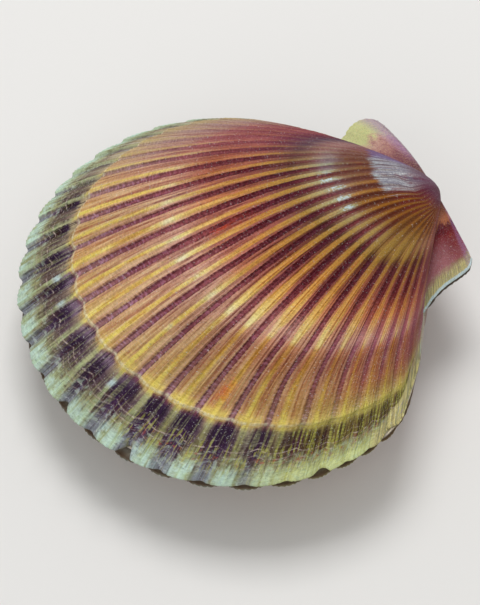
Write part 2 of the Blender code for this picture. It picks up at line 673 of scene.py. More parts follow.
class GrowthLaw:
    """The Geometry Nodes tree that grows a flat sheet into a valve."""

    INPUTS = (
        "Side",
        "Coil",
        "Belly",
        "Rib shift",
        "Rib lean",
        "Rib height",
        "Rib mean",
        "Riblet height",
        "Riblets per rib",
        "Thickness",
        "Lip",
        "Inset",
        "Halt age",
        "Halt step",
        "Halt swell",
        "Lobes",
        "Wave",
        "Undulation",
        "Growth line",
        "Roughness",
        "Grit",
        "Seed",
    )
    CAVITY_FLATTER = 0.97
    CAVITY_SINK = 0.15
    HINGE_BOW = 0.72
    CREASE_ANGLE = math.radians(55.0)
    DRIFT = RibDrift()
    CHIPS_FROM = 0.94
    EDGE_BULGE = 0.22
    RIBLET_PHASE = 1.6
    GROWTH_LINES_FROM = 0.9
    GROWTH_LINES_PER_AGE = 55.0
    EAR_BORDERS = (-5.5, 18.75)
    EAR_GROOVE = 0.35
    EAR_GROOVE_REACH = 0.55

    def __init__(self) -> None:
        """Builds the tree."""
        self.tree = bpy.data.node_groups.new("growth_law", "GeometryNodeTree")
        face = self.tree.interface
        face.new_socket("Geometry", in_out="INPUT", socket_type="NodeSocketGeometry")
        self.keys = {}
        for name in self.INPUTS:
            socket = face.new_socket(name, in_out="INPUT", socket_type="NodeSocketFloat")
            self.keys[name] = socket.identifier
        finish = face.new_socket("Finish", in_out="INPUT", socket_type="NodeSocketMaterial")
        self.keys["Finish"] = finish.identifier
        face.new_socket("Geometry", in_out="OUTPUT", socket_type="NodeSocketGeometry")
        self.board = Board(self.tree)
        self.entry = self.board.node("NodeGroupInput")
        self.build()

    def given(self, name: str) -> Wire:
        """One of the tree's named inputs."""
        return self.board.wire(self.entry.outputs[name])

    def stored(self, name: str, kind: str = "FLOAT") -> Wire:
        """What the sheet stores under a name.

        Args:
            name: of the attribute.
            kind: Blender's name of its type.

        Returns:
            Its value.
        """
        node = self.board.node("GeometryNodeInputNamedAttribute", data_type=kind)
        node.inputs["Name"].default_value = name
        return self.board.wire(node.outputs["Attribute"])

    def turned(self, vector: Wire, angle: Wire) -> Wire:
        """A vector turned about the hinge.

        Args:
            vector: the vector.
            angle: how far it turns, in radians.

        Returns:
            The turned vector.
        """
        node = self.board.node("ShaderNodeVectorRotate", rotation_type="X_AXIS")
        self.board.feed(node.inputs["Vector"], vector)
        self.board.feed(node.inputs["Angle"], -angle)
        return self.board.wire(node.outputs["Vector"])

    def spiral(self, size: Wire) -> Wire:
        """Angle about the hinge that a margin of this size has turned through."""
        log = self.board.math("LOGARITHM", 1.0 / size, math.e)
        return self.given("Coil") * log + self.given("Belly") * size * (1.0 - size)

    def rib_coordinate(self, age: Wire) -> Wire:
        """Rib number at each point, with the ribs' drift.

        Args:
            age: growth stage of the row.

        Returns:
            The drifted rib number.
        """
        by, fan = self.DRIFT, self.stored("rib")
        young = (by.young_age / age - 1.0).at_least(0.0).power(by.young_curve).at_most(by.young_most)
        drift = fan.rise(4.5, 9.5) - by.left_share * fan.fall(1.0, 5.0)
        inner = abs(fan - 6.5).fall(9.0, 12.0)
        crowd = (fan - by.crowded_from).at_least(0.0).at_most(by.crowded_span)
        spread = by.spread * age.rise(0.68, 0.97) * fan.rise(11.0, 13.5)
        bow = by.bow * age.bump(0.62, 0.45) * fan.fall(7.0, 11.5) * fan.rise(0.5, 3.5)
        swing = by.swing * age.rise(0.5, 0.76) * fan.fall(-0.5, 1.5)
        back = by.back * age.rise(0.52, 0.74) * fan.bump(7.5, 3.5)
        side = by.side * age.rise(0.66, 0.78) * fan.bump(13.0, 1.6)
        sideways = by.crowding * crowd * crowd - spread - bow - swing + back + side
        return fan - young * drift * inner + sideways + self.given("Rib shift")

    def rib_section(self, rib: Wire) -> Wire:
        """Height of the rib's cross-section, from 0 in the furrow to 1 on the crest.

        Args:
            rib: the rib coordinate.

        Returns:
            The height.
        """
        place = rib.fract()
        low, high = CREST_LIMITS
        lean = self.given("Rib lean") * (rib.floor() - UPRIGHT_RIB)
        crest = (CREST_MIDDLE - lean).at_least(low).at_most(high)
        crest = self.board.blend(self.given("Rib lean").rise(0.0, 0.001), 0.5, crest)
        steep = (place / crest).at_most((1.0 - place) / (1.0 - crest))
        return 1.0 - (1.0 - steep).at_least(0.0).power(2.2)

    def build(self) -> None:
        """Lays out the whole tree."""
        board = self.board
        age, fan, disc = self.stored("age"), self.stored("rib"), self.stored("disc")
        pitch, edge, inside = self.stored("pitch"), self.stored("edge"), self.stored("inside")
        rib = self.rib_coordinate(age)
        section = self.rib_section(rib)
        grown = age.rise(0.04, 0.18)

        lobed = 1.0 + self.given("Lobes") * (section - 0.5) * disc * grown
        size = age * lobed
        whole = 1.0 - self.stored("chip")
        kept = self.CHIPS_FROM
        size = size.at_most(kept) + (size - kept).at_least(0.0) * (whole - kept) / (1.0 - kept)
        size = size * (1.0 - self.given("Inset"))
        turn = self.spiral(size)

        margin_x, margin_y, _ = board.parts(self.stored("margin", "FLOAT_VECTOR"))
        head_x, head_y, _ = board.parts(self.stored("heading", "FLOAT_VECTOR"))
        unwind = self.given("Belly") * (1.0 - 2.0 * size) - self.given("Coil") / size
        sweep = size * margin_y * unwind
        across = margin_x * head_y - margin_y * head_x
        normal = board.vector(sweep * head_y, -(sweep * head_x), across)
        normal = board.vector_math("NORMALIZE", normal)

        height = self.relief(age, size, fan, rib, section, pitch, disc, grown)
        flat = board.vector(size * margin_x, size * margin_y, 0.0)
        local = board.vector_math("ADD", flat, board.scaled(normal, height))
        lift = board.blend(age.rise(0.9, 1.0), self.given("Thickness"), self.given("Lip"))
        skin = board.vector_math("ADD", self.turned(local, turn), board.vector(0.0, 0.0, lift))

        wave = self.given("Wave") * (section - 0.5) * disc * age.rise(0.86, 1.0)
        skin_x, skin_y, skin_z = board.parts(skin)
        bulge = self.EDGE_BULGE * (edge * math.pi).sine()
        foot_x = skin_x + head_y * bulge
        foot_y = skin_y - head_x * bulge
        foot_z = board.blend(edge, skin_z, wave)
        outer = board.vector(foot_x, foot_y, foot_z)

        shrunk = age * (1.0 - self.given("Inset"))
        rim = board.vector(shrunk * margin_x, shrunk * margin_y, 0.0)
        vault_x, vault_y, vault_z = board.parts(self.turned(rim, self.spiral(age) * self.CAVITY_FLATTER))
        vault_z = (vault_z - self.CAVITY_SINK).at_least(0.0) * self.stored("cavity") + wave
        inner = board.vector(vault_x, vault_y, vault_z)

        place = board.blend(inside, outer, inner, Mix.VECTOR)
        bow = self.HINGE_BOW * (age * math.pi).sine() * fan.fall(-15.0, -8.0)
        place = board.vector_math("ADD", place, board.vector(0.0, bow, 0.0))
        place = board.vector_math("MULTIPLY", place, board.vector(MM, MM, self.given("Side") * MM))

        shape = board.wire(self.entry.outputs["Geometry"])
        shape = self.store(shape, "ribs", rib)
        shape = self.store(shape, "fan", fan)
        shape = self.store(shape, "growth", size / lobed)
        shape = self.store(shape, "relief", section)
        shape = self.store(shape, "lining", inside)
        shape = self.store(shape, "wall", edge * (1.0 - inside))
        moved = board.node("GeometryNodeSetPosition")
        board.feed(moved.inputs["Geometry"], shape)
        board.feed(moved.inputs["Position"], place)
        self.finish(board.wire(moved.outputs["Geometry"]))

    def relief(
        self,
        age: Wire,
        size: Wire,
        fan: Wire,
        rib: Wire,
        section: Wire,
        pitch: Wire,
        disc: Wire,
        grown: Wire,
    ) -> Wire:
        """Height of the skin over the plain growth surface.

        Args:
            age: growth stage of the row.
            size: growth stage with the margin's lobes.
            fan: plain rib number.
            rib: rib number with its drift.
            section: rib cross-section.
            pitch: distance between ribs at full size.
            disc: share of the relief here.
            grown: fades the relief out towards the beak.

        Returns:
            The height in millimetres.
        """
        board = self.board
        bold = 0.55 + 0.45 * fan.rise(-1.0, 6.0)
        ribs = self.given("Rib height") * size * pitch * (section - self.given("Rib mean")) * disc * bold
        turns = rib * (2.0 * math.pi) * self.given("Riblets per rib")
        riblets = self.given("Riblet height") * pitch * (turns + self.RIBLET_PHASE).sine()
        riblets = riblets * disc * age.rise(0.3, 0.6)
        halt_age = self.given("Halt age")
        before = 1.0 - (halt_age - age).at_least(0.0) / self.given("Halt swell")
        swell = before.at_least(0.0) * age.fall(halt_age - 0.001, halt_age + 0.006)
        halt = self.given("Halt step") * swell * fan.rise(-5.6, -3.5) * fan.fall(15.0, 18.6)
        seed = self.given("Seed")
        rings = board.noise(board.vector(age * 38.0, fan * 0.12, seed), 3.0, 0.6)
        grit = board.noise(board.vector(rib * 5.0, age * 160.0, seed + 3.0), 2.0, 0.6)
        uneven = board.noise(board.vector(fan * 0.55, age * 5.0, seed + 7.0), 3.0, 0.55)
        late = age.rise(0.9, 0.93) * fan.rise(-5.2, -4.6) * fan.fall(17.6, 18.2)
        steps = (age - self.GROWTH_LINES_FROM).at_least(0.0) * self.GROWTH_LINES_PER_AGE
        steps = steps + 0.35 * board.noise(board.vector(fan * 0.3, age * 4.0, seed), 1.0)
        lines = self.given("Growth line") * (1.0 - steps.fract()).power(2.0) * late
        left, right = self.EAR_BORDERS
        groove = fan.bump(left, self.EAR_GROOVE_REACH) + fan.bump(right, self.EAR_GROOVE_REACH)
        auricle = -self.EAR_GROOVE * size * groove
        return (
            (ribs + riblets) * grown
            + halt
            + self.given("Undulation") * (rings - 0.5) * grown
            + self.given("Roughness") * (uneven - 0.5)
            + self.given("Grit") * (grit - 0.5) * age.rise(0.12, 0.3)
            + lines
            + auricle
        )

    def store(self, shape: Wire, name: str, value: Wire) -> Wire:
        """The geometry with one more number kept on its vertices.

        Args:
            shape: the geometry.
            name: of the attribute.
            value: the number.

        Returns:
            The geometry.
        """
        node = self.board.node("GeometryNodeStoreNamedAttribute", data_type="FLOAT", domain="POINT")
        self.board.feed(node.inputs["Geometry"], shape)
        node.inputs["Name"].default_value = name
        self.board.feed(node.inputs["Value"], value)
        return self.board.wire(node.outputs["Geometry"])

    def finish(self, shape: Wire) -> None:
        """Shade the valve smooth but for its creases, and give it its finish.

        Args:
            shape: the grown geometry.
        """
        board = self.board
        smooth = board.node("GeometryNodeSetShadeSmooth", domain="FACE")
        board.feed(smooth.inputs["Geometry"], shape)
        angle = board.wire(board.node("GeometryNodeInputMeshEdgeAngle").outputs["Unsigned Angle"])
        creased = board.node("FunctionNodeCompare", data_type="FLOAT", operation="GREATER_THAN")
        board.feed(creased.inputs[0], angle)
        board.feed(creased.inputs[1], self.CREASE_ANGLE)
        sharp = board.node("GeometryNodeSetShadeSmooth", domain="EDGE")
        board.feed(sharp.inputs["Geometry"], board.wire(smooth.outputs["Geometry"]))
        board.feed(sharp.inputs["Selection"], board.wire(creased.outputs[0]))
        sharp.inputs["Shade Smooth"].default_value = False
        real = board.node("GeometryNodeRealizeInstances")
        board.feed(real.inputs["Geometry"], board.wire(sharp.outputs["Geometry"]))
        dressed = board.node("GeometryNodeSetMaterial")
        board.feed(dressed.inputs["Geometry"], board.wire(real.outputs["Geometry"]))
        board.feed(dressed.inputs["Material"], self.given("Finish"))
        leave = board.node("NodeGroupOutput")
        board.feed(leave.inputs["Geometry"], board.wire(dressed.outputs["Geometry"]))

    def grow(
        self, name: str, sheet: bpy.types.Mesh, form: ValveForm, relief: Relief, finish: bpy.types.Material
    ) -> bpy.types.Mesh:
        """The plain mesh of one valve in the shell's frame.

        Args:
            name: of the mesh.
            sheet: the flat sheet.
            form: which valve it is.
            relief: the sizes of its relief.
            finish: its material.

        Returns:
            The grown mesh.
        """
        values = {
            "Side": form.side,
            "Coil": form.coil,
            "Belly": form.belly,
            "Rib shift": form.rib_shift,
            "Rib lean": form.lean,
            "Rib height": form.rib_height,
            "Rib mean": relief.rib_mean,
            "Riblet height": relief.riblets,
            "Riblets per rib": relief.riblets_per_rib,
            "Thickness": form.thickness,
            "Lip": relief.lip,
            "Inset": form.inset,
            "Halt age": relief.halt,
            "Halt step": relief.halt_step,
            "Halt swell": relief.halt_swell,
            "Lobes": relief.lobes,
            "Wave": relief.wave,
            "Undulation": relief.undulation,
            "Growth line": relief.growth_line,
            "Roughness": relief.roughness,
            "Grit": relief.grit,
            "Seed": 3.0 + form.side,
            "Finish": finish,
        }
        flat = bpy.data.objects.new(name + "_sheet", sheet)
        bpy.context.scene.collection.objects.link(flat)
        modifier = flat.modifiers.new("growth", "NODES")
        modifier.node_group = self.tree
        for label, value in values.items():
            modifier[self.keys[label]] = value
        graph = bpy.context.evaluated_depsgraph_get()
        mesh = bpy.data.meshes.new_from_object(flat.evaluated_get(graph), depsgraph=graph)
        mesh.name = name
        bpy.data.objects.remove(flat)
        return mesh


# The colours.


def tone(code: str) -> tuple[float, float, float, float]:
    """A colour written as six hexadecimal digits, as Blender's linear values.

    Args:
        code: the digits.

    Returns:
        Red, green and blue, and 1 for opaque.
    """
    shares = [int(code[i : i + 2], 16) / 255.0 for i in (0, 2, 4)]
    linear = [s / 12.92 if s <= 0.04045 else ((s + 0.055) / 1.055) ** 2.4 for s in shares]
    return (*linear, 1.0)


# Places along a coordinate, each with the name of its pigment.
Stops = tuple[tuple[float, str], ...]


@dataclass(frozen=True)
class Pigment:
    """The shell's named colours, as six hexadecimal digits."""

    night: str = "281430"
    plum: str = "441a34"
    aubergine: str = "3a2440"
    heather: str = "5a4a60"
    slate: str = "7e8288"
    wine: str = "34060f"
    maroon: str = "521824"
    oxblood: str = "5a121c"
    claret: str = "783638"
    garnet: str = "6a2626"
    mulberry: str = "824650"
    rosewood: str = "86464a"
    mauve: str = "9c7070"
    bark: str = "54261c"
    umber: str = "6e3a22"
    chestnut: str = "84482c"
    clay: str = "86604a"
    cocoa: str = "5e3a2a"
    sienna: str = "9c5a4e"
    terracotta: str = "c4826a"
    fawn: str = "bc8e6e"
    blush: str = "cc9e88"
    honey: str = "c8a868"
    bronze: str = "80561e"
    ochre: str = "a07c34"
    amber: str = "ca964e"
    flame: str = "c84c20"
    gold: str = "e0ba6a"
    straw: str = "eadc92"
    corn: str = "dcbe62"
    lemon: str = "e0cc66"
    moss: str = "a8a87e"
    olive: str = "7a7248"
    leaf: str = "b4b450"
    sage: str = "a4b084"
    mint: str = "b8d0b0"
    frost: str = "c2d8de"
    ivory: str = "e6e0bc"
    pearl: str = "d4d6d2"
    lilac: str = "a888bc"
    iris: str = "6e5a88"
    ash: str = "8e8e9a"
    dove: str = "8a8496"
    rose: str = "a86068"
    coral: str = "984840"
    brick: str = "7c2024"
    shadow: str = "2e1c2a"
    lining: str = "d8cdbd"
    chalk: str = "cdb8b0"
    rust: str = "b05c30"
    copper: str = "cc8a50"
    sand: str = "dcbc90"
    violet: str = "7a3450"
    orchid: str = "a86a84"
    thistle: str = "b48aa4"
    wisteria: str = "9890ac"
    earth: str = "4a3024"
    teal: str = "c4e0d8"
    dun: str = "94806e"
    taupe: str = "685650"
    lichen: str = "9a9a72"
    dusk: str = "8c7488"
    drab: str = "867840"
    ebony: str = "2e1a14"
    lime: str = "ccd492"
    ruby: str = "702028"
    tawny: str = "b87a2a"
    sunned: str = "fffaee"
    smoked: str = "fdf4ea"
    cherry: str = "78343a"
    crimson: str = "904c50"
    dregs: str = "5c2844"
    rosy: str = "a06c58"
    loam: str = "6a5830"
    toast: str = "cbbcae"
    ember: str = "e6d9df"
    madder: str = "e0c8cd"
    sunset: str = "e4dfd4"
    treacle: str = "f8ecb8"
    amethyst: str = "4a2c52"
    petal: str = "a86c70"
    bisque: str = "c89a90"
    apricot: str = "b8704a"
    walnut: str = "6c4034"
    cellar: str = "220c10"
    blossom: str = "d0a090"
    haze: str = "b0948c"
    khaki: str = "b4a480"


@dataclass(frozen=True)
class Place:
    """Where a point lies on a valve, by rib and growth, with the noises that follow them."""

    rib: Wire
    fan: Wire
    age: Wire
    from_furrow: Wire
    from_crest: Wire
    luck: Wire
    second_luck: Wire
    streak: Wire
    fibre: Wire
    thread: Wire
    grain: Wire
    bead: Wire
    cloud: Wire
    mood: Wire
    speckle: Wire
    stripe: Wire
    dash: Wire


@dataclass(frozen=True)
class UpperFinish:
    """Banded colours of the upper valve, driven by rib and growth coordinates."""

    name: str = "upper_shell_finish"
    pigment: Pigment = Pigment()
    halt: float = HALT_AGE
    crest_middle: float = CREST_MIDDLE
    crest_lean: float = CREST_LEAN
    crest_limits: tuple[float, float] = CREST_LIMITS
    crest_wander: float = 0.06
    mote_scale: float = 3000.0
    bump_strength: float = 0.7
    bump_depth: float = 0.12
    specular: float = 0.10
    roughness: float = 0.42
    roughness_spread: float = 0.2

    def colour(self, name: str) -> tuple[float, float, float, float]:
        """A pigment by its name."""
        return tone(getattr(self.pigment, name))

    def ramp(self, board: Board, place: Wire, *stops: tuple[float, str]) -> Wire:
        """Colour that changes along a coordinate.

        Args:
            board: where the node goes.
            place: the coordinate, from 0 to 1.
            stops: places with the names of pigments.

        Returns:
            The colour.
        """
        node = board.node("ShaderNodeValToRGB")
        board.feed(node.inputs[0], place)
        marks = node.color_ramp.elements
        while len(marks) < len(stops):
            marks.new(0.5)
        for mark, (at, _) in zip(marks, stops):
            mark.position = at
        for mark, (_, name) in zip(marks, stops):
            mark.color = self.colour(name)
        return board.wire(node.outputs["Color"])

    def over(self, base: Wire, share: Wire, paint: Wire | str) -> Wire:
        """A base colour with a share of paint over it."""
        top = self.colour(paint) if isinstance(paint, str) else paint
        return base.board.blend(share, base, top, Mix.RGBA)

    def make(self) -> bpy.types.Material:
        """Build the material.

        Returns:
            The material.
        """
        material = bpy.data.materials.new(self.name)
        material.use_nodes = True
        board = Board(material.node_tree)
        shader = material.node_tree.nodes["Principled BSDF"]
        colour, rough, height = self.layers(board)
        board.feed(shader.inputs["Base Color"], colour)
        board.feed(shader.inputs["Roughness"], rough)
        bump = board.node("ShaderNodeBump")
        bump.inputs["Strength"].default_value = self.bump_strength
        bump.inputs["Distance"].default_value = self.bump_depth * MM
        board.feed(bump.inputs["Height"], height)
        board.feed(shader.inputs["Normal"], board.wire(bump.outputs["Normal"]))
        shader.inputs["Specular IOR Level"].default_value = self.specular
        return material

    def attribute(self, board: Board, name: str) -> Wire:
        """A number that the valve's mesh carries."""
        node = board.node("ShaderNodeAttribute", attribute_name=name)
        return board.wire(node.outputs["Fac"])

    def filtered(self, base: Wire, share: Wire, name: str) -> Wire:
        """A base colour with a share of it seen through a pigment."""
        glass = base.board.vector_math("MULTIPLY", base, self.colour(name)[:3])
        return base.board.blend(share, base, glass, Mix.RGBA)

    def place(self, board: Board) -> Place:
        """The coordinates that every layer reads.

        The third number of each noise is its own slice, so that no two noises agree.

        Args:
            board: where the nodes go.

        Returns:
            The coordinates.
        """
        rib, fan, age = (self.attribute(board, name) for name in ("ribs", "fan", "growth"))
        within, number = rib.fract(), rib.floor()
        luck = board.chance(number + 0.5)
        second_luck = board.chance(number + 40.5)
        streak = board.noise(board.vector(rib * 9.0, age * 8.0, 1.0), 3.0, 0.6)
        bead = board.noise(board.vector(rib * 4.5, age * 170.0, 6.0), 1.0, 0.5).rise(0.3, 0.7)
        low, high = self.crest_limits
        crest = (self.crest_middle - self.crest_lean * (number - UPRIGHT_RIB)).at_least(low).at_most(high)
        wander = number.bump(8.5, 1.5) - number.bump(5.5, 1.5) + age.rise(0.84, 0.9)
        crest = crest + self.crest_wander * wander
        ragged = 0.10 * (streak - 0.5) + 0.025 * (bead - 0.5)
        return Place(
            rib=rib,
            fan=fan,
            age=age,
            from_furrow=within.at_most(1.0 - within) + ragged,
            from_crest=abs(within - crest - 0.05 * (luck - 0.5)) + ragged,
            luck=luck,
            second_luck=second_luck,
            streak=streak,
            fibre=board.noise(board.vector(rib * 14.0, age * 5.0, 7.0), 2.0, 0.6),
            thread=board.noise(board.vector(rib * 11.0, age * 6.0, 17.0), 2.0, 0.6),
            grain=board.noise(board.vector(rib * 7.0, age * 230.0, 2.0), 2.0, 0.6).rise(0.3, 0.7),
            bead=bead,
            cloud=board.noise(board.vector(fan * 0.5, age * 7.0, 3.0), 3.0, 0.6),
            mood=board.noise(board.vector(rib * 1.2 + number * 2.3, age * 14.0, 5.0), 5.0, 0.7),
            speckle=board.noise(board.vector(fan * 5.0, age * 70.0, 14.0), 2.0, 0.6),
            stripe=board.noise(board.vector(rib * 7.0, age * 6.0, 31.0), 1.0, 0.5),
            dash=board.noise(board.vector(rib * 15.0, age * 34.0, 23.0), 1.0, 0.5),
        )

    def layers(self, board: Board) -> tuple[Wire, Wire, Wire]:
        """Colour, roughness and height of the finish.

        Args:
            board: where the nodes go.

        Returns:
            The three of them.
        """
        here = self.place(board)
        old = self.umbo(board, here, self.main_field(board, here))
        front = here.age + 0.004 * (here.grain - 0.5)
        vague = here.fan.rise(12.5, 15.5)
        past_halt = front.rise(self.halt + 0.002 - 0.02 * vague, self.halt + 0.009 + 0.02 * vague)
        colour = board.blend(past_halt, old, self.outer_band(board, here), Mix.RGBA)
        # Painted highlight: lemon on the swelling lip just inside the growth halt, and an ivory line along
        # the ledge's edge.
        lip_highlight = here.age.bump(self.halt - 0.006, 0.02) * here.fan.bump(11.0, 5.5)
        lip_highlight = lip_highlight * here.from_furrow.rise(0.08, 0.2)
        colour = self.over(colour, lip_highlight * 0.75, "lemon")
        ledge_edge_highlight = here.age.bump(self.halt + 0.001, 0.006) * here.streak.rise(0.3, 0.6) * (1.0 - vague)
        colour = self.over(colour, ledge_edge_highlight * (0.45 + 0.4 * here.grain), "ivory")
        colour = self.ears(board, here, colour)
        speck = board.noise(board.vector(here.rib * 12.0, here.age * 260.0, 4.0), 1.0, 0.5)
        colour = self.over(colour, speck.rise(0.67, 0.74) * (0.15 + 0.25 * here.age.rise(0.5, 0.65)), "pearl")
        colour = self.over(colour, speck.fall(0.26, 0.33) * 0.4, "wine")
        wall = self.attribute(board, "wall")
        colour = self.over(colour, wall.rise(0.35, 0.8) * (0.5 + 0.3 * here.bead), "olive")
        colour = self.over(colour, self.attribute(board, "lining"), "lining")
        spot = board.node("ShaderNodeTexCoord")
        mote = board.noise(board.scaled(board.wire(spot.outputs["Object"]), self.mote_scale), 2.0, 0.7)
        colour = self.over(colour, mote.rise(0.62, 0.70) * 0.28, "pearl")
        colour = self.over(colour, mote.fall(0.30, 0.38) * 0.30, "cellar")
        rings = board.noise(board.vector(here.age * 95.0, here.fan * 0.25, 9.0), 2.0, 0.6)
        shade = (0.88 + 0.24 * here.cloud) * (0.87 + 0.26 * here.grain) * (0.90 + 0.20 * rings)
        colour = board.scaled(colour, shade * (0.94 + 0.12 * here.luck))
        rough = self.roughness + self.roughness_spread * here.grain
        height = 0.4 * here.bead + 0.3 * here.grain + 0.5 * here.fibre + 0.4 * speck
        return colour, rough, height

    def main_field(self, board: Board, here: Place) -> Wire:
        """Maroon furrows, tan flanks and golden crests with painted highlight on them, from the umbo to the
        growth halt.

        Args:
            board: where the nodes go.
            here: the coordinates.

        Returns:
            The colour.
        """
        age, fan = here.age, here.fan
        flank_stops = (
            (0.24, "umber"),
            (0.32, "clay"),
            (0.38, "cocoa"),
            (0.47, "sienna"),
            (0.57, "terracotta"),
            (0.63, "blush"),
            (0.72, "fawn"),
            (0.86, "honey"),
        )
        furrow_stops = (
            (0.25, "bark"),
            (0.32, "claret"),
            (0.39, "maroon"),
            (0.49, "oxblood"),
            (0.56, "cherry"),
            (0.62, "crimson"),
            (0.74, "mulberry"),
            (0.86, "mauve"),
        )
        crest_stops = (
            (0.22, "bronze"),
            (0.31, "moss"),
            (0.39, "ochre"),
            (0.50, "amber"),
            (0.58, "gold"),
            (0.64, "straw"),
            (0.70, "corn"),
            (0.86, "lemon"),
        )
        mature = age.rise(0.36, 0.5)
        dark = self.ramp(board, age, (0.40, "wine"), (0.56, "garnet"), (0.66, "claret"), (0.84, "coral"))
        pale = self.ramp(board, age, (0.42, "rust"), (0.56, "copper"), (0.64, "sand"), (0.84, "sand"))
        colour = self.ramp(board, age, *flank_stops)
        colour = self.over(colour, here.luck.rise(0.5, 1.0) * mature * 0.15, "rose")
        colour = self.over(colour, here.second_luck.rise(0.4, 0.9) * mature * 0.3, "copper")
        dark_stripes = here.stripe.rise(0.50, 0.58) * (0.6 + 0.4 * here.bead) * mature
        colour = self.over(colour, dark_stripes * 0.55, dark)
        dark_lines = here.fibre.rise(0.54, 0.62) * (0.45 + 0.55 * here.grain)
        colour = self.over(colour, dark_lines * mature * 0.6, dark)
        colour = self.over(colour, here.stripe.fall(0.38, 0.46) * age.rise(0.42, 0.6) * 0.55, pale)
        pale_lines = here.thread.rise(0.54, 0.64) * (0.3 + 0.7 * here.bead)
        colour = self.over(colour, pale_lines * age.rise(0.42, 0.6) * 0.5, pale)
        toasted = fan.rise(8.0, 9.0) * fan.fall(12.5, 14.0) * age.rise(0.35, 0.38) * age.fall(0.50, 0.55)
        colour = self.filtered(colour, toasted, "toast")
        colour = self.crests(board, here, colour, crest_stops)
        colour = self.filtered(colour, age.bump(0.49, 0.14), "smoked")
        sunny = fan.rise(7.5, 9.5) * age.rise(0.33, 0.38) * age.fall(0.62, 0.68)
        colour = self.filtered(colour, sunny, "sunned")
        return self.furrows(board, here, colour, furrow_stops)

    def crests(self, board: Board, here: Place, colour: Wire, stops: Stops) -> Wire:
        """The golden stripe along each rib, partly its own colour and partly painted highlight on the rib
        tops, laid over the flanks.

        Args:
            board: where the nodes go.
            here: the coordinates.
            colour: of the flanks.
            stops: the stripe's colours along the growth.

        Returns:
            The colour with the stripes.
        """
        age, fan = here.age, here.fan
        half = board.remap(age, 0.40, 0.74, 0.16, 0.075) * (0.8 + 0.4 * here.second_luck)
        half = half + 0.10 * fan.rise(8.5, 10.5) * age.bump(0.59, 0.09)
        half = half + 0.10 * fan.rise(12.0, 14.0) * age.fall(0.34, 0.40)
        # The stripe is partly the crest's own colour and partly painted highlight where light falls on the
        # rib tops.
        stripe = board.remap(here.from_crest, half - 0.05, half + 0.06, 1.0, 0.0)
        lit = self.ramp(board, age, *stops)
        lit = self.over(lit, here.mood.fall(0.38, 0.5) * 0.4, "amber")
        lit = self.over(lit, fan.fall(2.5, 4.0) * age.bump(0.55, 0.11) * 0.6, "copper")
        lit = self.over(lit, here.mood.rise(0.54, 0.66) * age.rise(0.5, 0.6) * 0.6, "straw")
        lit = self.over(lit, here.thread.fall(0.36, 0.44) * 0.45, "rust")
        lit = self.over(lit, here.bead.fall(0.0, 0.4) * 0.15, "bronze")
        lit = self.over(lit, fan.rise(8.5, 10.5) * age.fall(0.35, 0.41) * 0.75, "ochre")
        tawny_band = age.rise(0.655, 0.675) * age.fall(0.72, 0.82) * fan.rise(9.0, 11.0)
        lit = self.over(lit, tawny_band * 0.55, "tawny")
        halo = age.bump(0.652, 0.022) + 0.7 * age.bump(0.75, 0.02) * here.mood.rise(0.5, 0.56)
        lit = self.over(lit, halo * here.mood.rise(0.38, 0.5) * fan.bump(6.5, 7.0) * 0.8, "ivory")
        stripe = stripe * (1.0 - 0.7 * fan.fall(2.5, 4.0) * age.fall(0.38, 0.44))
        return board.blend(stripe * (0.8 + 0.2 * here.streak.rise(0.3, 0.5)), colour, lit, Mix.RGBA)

    def furrows(self, board: Board, here: Place, colour: Wire, stops: Stops) -> Wire:
        """The dark furrows with their beads of scale colour and painted glints, laid over flanks and crests.

        Args:
            board: where the nodes go.
            here: the coordinates.
            colour: of the flanks and crests.
            stops: the furrows' colours along the growth.

        Returns:
            The colour with the furrows and the differences between regions.
        """
        age, fan = here.age, here.fan
        edge = board.remap(age, 0.50, 0.78, 0.16, 0.105) * (0.85 + 0.3 * here.luck)
        edge = edge + 0.05 * fan.rise(12.0, 14.0) * age.fall(0.50, 0.60)
        bold = (0.8 + 0.2 * fan.rise(-2.0, 2.0)) * (1.0 - 0.85 * fan.rise(12.5, 14.5) * age.fall(0.30, 0.37))
        bold = bold * (1.0 - 0.35 * fan.fall(2.5, 4.0) * age.fall(0.36, 0.48))
        pale_line = here.from_furrow.bump(edge + 0.06, 0.05) * (0.4 + 0.6 * here.bead)
        pale_stops = ((0.42, "rosewood"), (0.56, "rose"), (0.64, "blossom"), (0.84, "blush"))
        pale_tone = self.ramp(board, age, *pale_stops)
        colour = self.over(colour, pale_line * age.rise(0.40, 0.50) * 0.75, pale_tone)
        groove = self.ramp(board, age, *stops)
        # The beads are the furrow scales' pink-lilac colour with painted glints on them.
        bead = self.ramp(board, age, (0.40, "violet"), (0.60, "rose"), (0.70, "orchid"), (0.82, "thistle"))
        scale_colour_and_glints = here.bead.rise(0.55, 0.95) * board.remap(age, 0.56, 0.74, 0.22, 0.5)
        groove = self.over(groove, here.from_furrow.bump(edge - 0.03, 0.05) * 0.5, "wine")
        groove = self.over(groove, scale_colour_and_glints * age.rise(0.33, 0.42), bead)
        groove = self.over(groove, here.bead.fall(0.1, 0.5) * (0.4 - 0.2 * age.rise(0.6, 0.75)), "wine")
        deep = here.from_furrow.fall(0.0, 0.10) * age.bump(0.46, 0.12) * fan.rise(6.0, 9.0)
        groove = self.over(groove, deep * 0.6, "wine")
        hollow = board.remap(here.from_furrow, edge - 0.035, edge + 0.03, 1.0, 0.0)
        colour = board.blend(hollow * bold, colour, groove, Mix.RGBA)
        return self.regions(board, here, colour)

